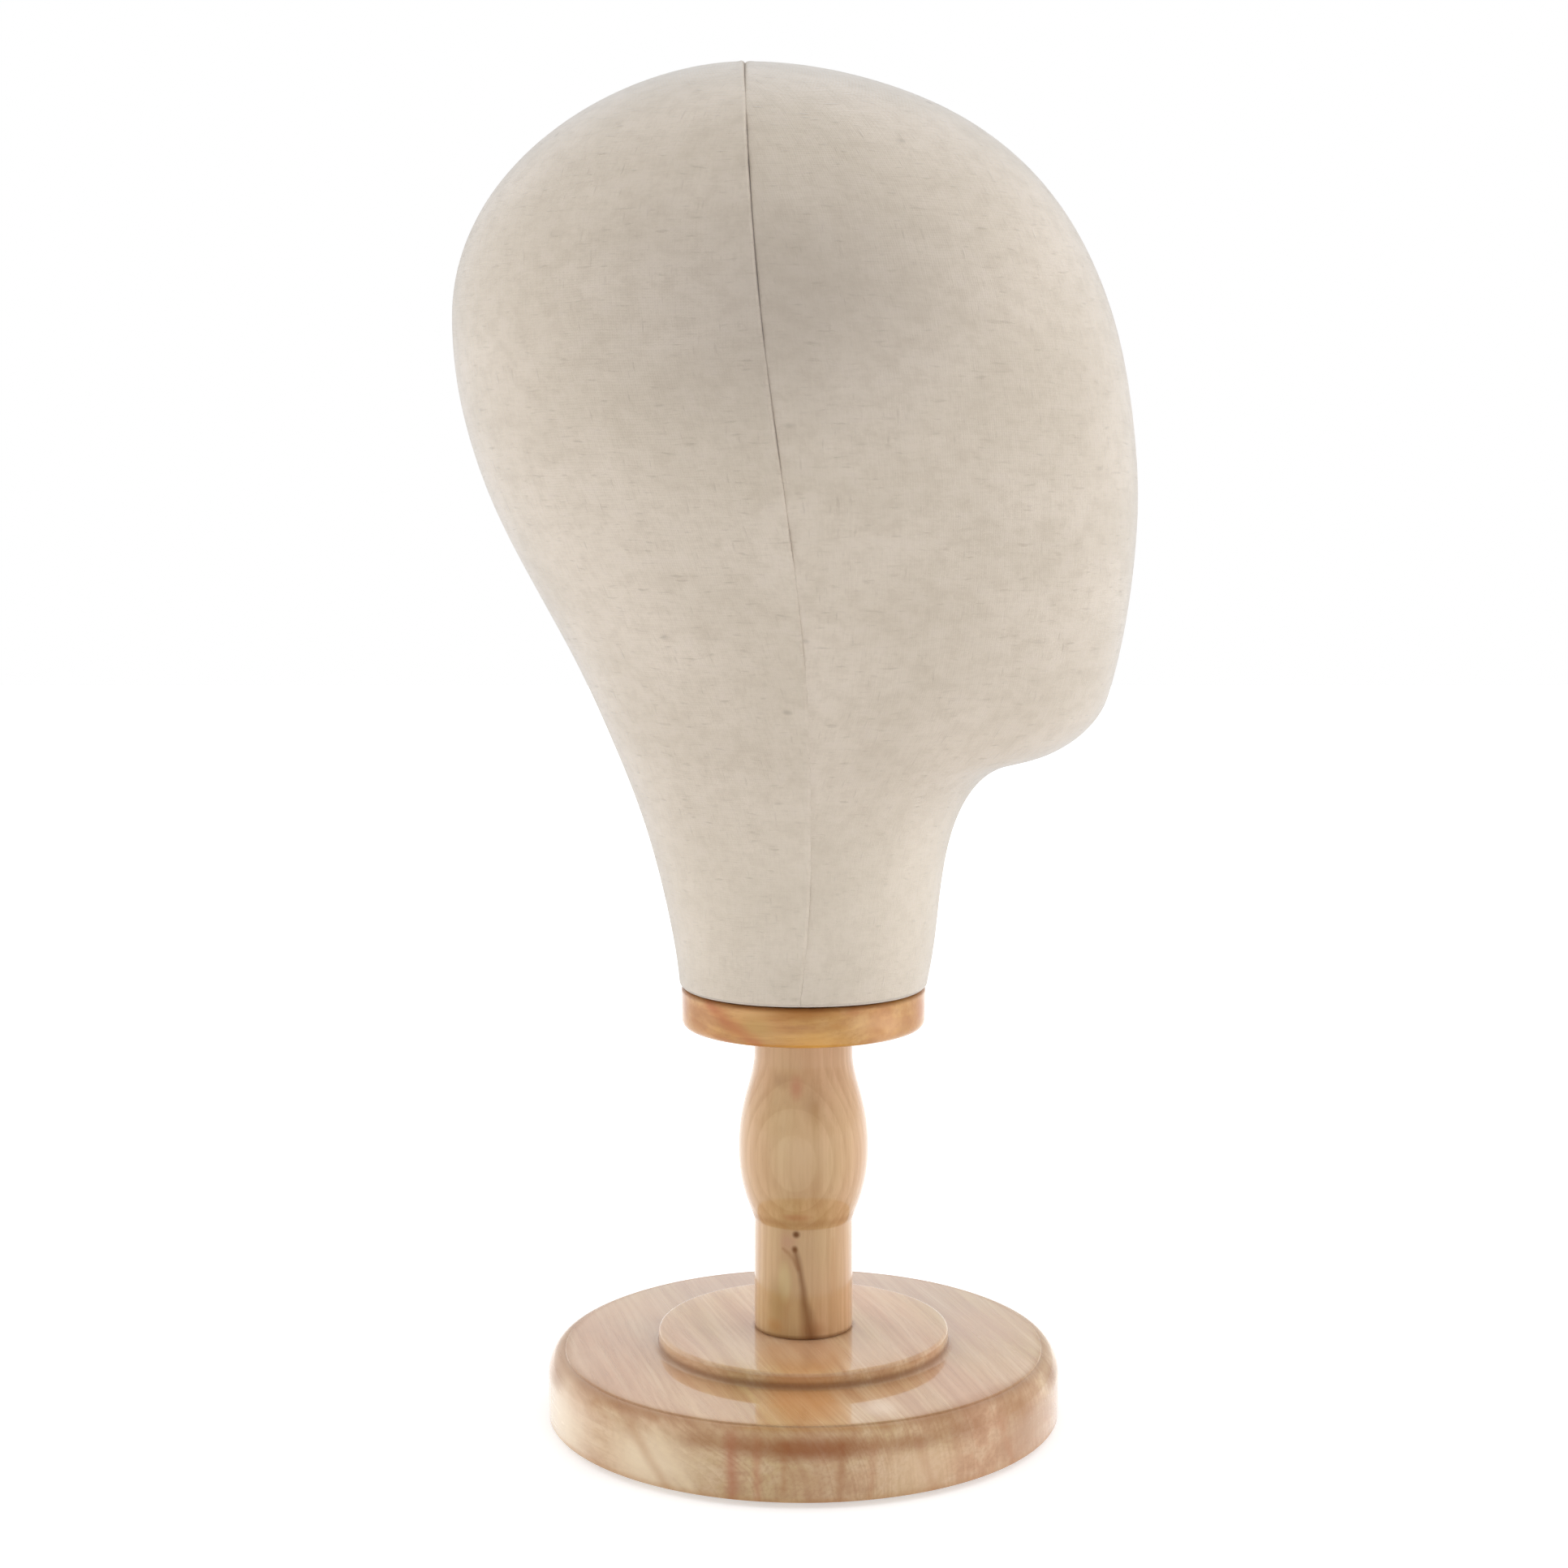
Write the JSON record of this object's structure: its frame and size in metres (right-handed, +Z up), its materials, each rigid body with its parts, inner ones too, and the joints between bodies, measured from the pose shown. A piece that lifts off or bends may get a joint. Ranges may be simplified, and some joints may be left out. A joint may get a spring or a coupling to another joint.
{
  "type": "canvas block head",
  "caption": "Faceless canvas-covered block head on a turned wooden post and round base, for making, pinning and displaying wigs and hats; the head screws onto the post.",
  "frame": {"origin": "under the post's axis, on the surface that the base's felt pad rests on", "axes": "+Z up along the post, +X the way the head faces, +Y to the head's left"},
  "size_m": [0.1935, 0.15, 0.3873],
  "materials": {
    "felt": "matte",
    "base_wood": "satin",
    "post_wood": "satin",
    "disc_wood": "satin",
    "block_wood": "matte",
    "steel": "satin",
    "packing": "matte",
    "canvas": "matte"
  },
  "bodies": {
    "stand": {"base_pad": "felt", "base_disc": "base_wood", "base_washer": "steel", "base_bolt": "steel", "post_insert": "steel", "post": "post_wood"},
    "stud": {"head_stud": "steel"},
    "head": {"neck_disc": "disc_wood", "neck_nut": "steel", "neck_block": "block_wood", "disc_screw_1": "steel", "disc_screw_2": "steel", "disc_screw_3": "steel", "disc_screw_4": "steel", "hem_tack_1": "steel", "hem_tack_2": "steel", "hem_tack_3": "steel", "hem_tack_4": "steel", "hem_tack_5": "steel", "hem_tack_6": "steel", "hem_tack_7": "steel", "hem_tack_8": "steel", "core": "packing", "canvas_face": "canvas", "canvas_back": "canvas"}
  },
  "joints": [
    {"name": "head_turn", "type": "hinge", "parent": "stand", "child": "stud", "pos_m": [0, 0, 0.1157], "axis": [0, 0, 1], "range_deg": [0, 4320]},
    {"name": "head_lift", "type": "slide", "parent": "stud", "child": "head", "axis": [0, 0, 1], "range_m": [0, 0.01505]}
  ],
  "couplings": [
    {"joint": "head_lift", "follows": "head_turn", "m_per_rad": 0.00019894}
  ]
}
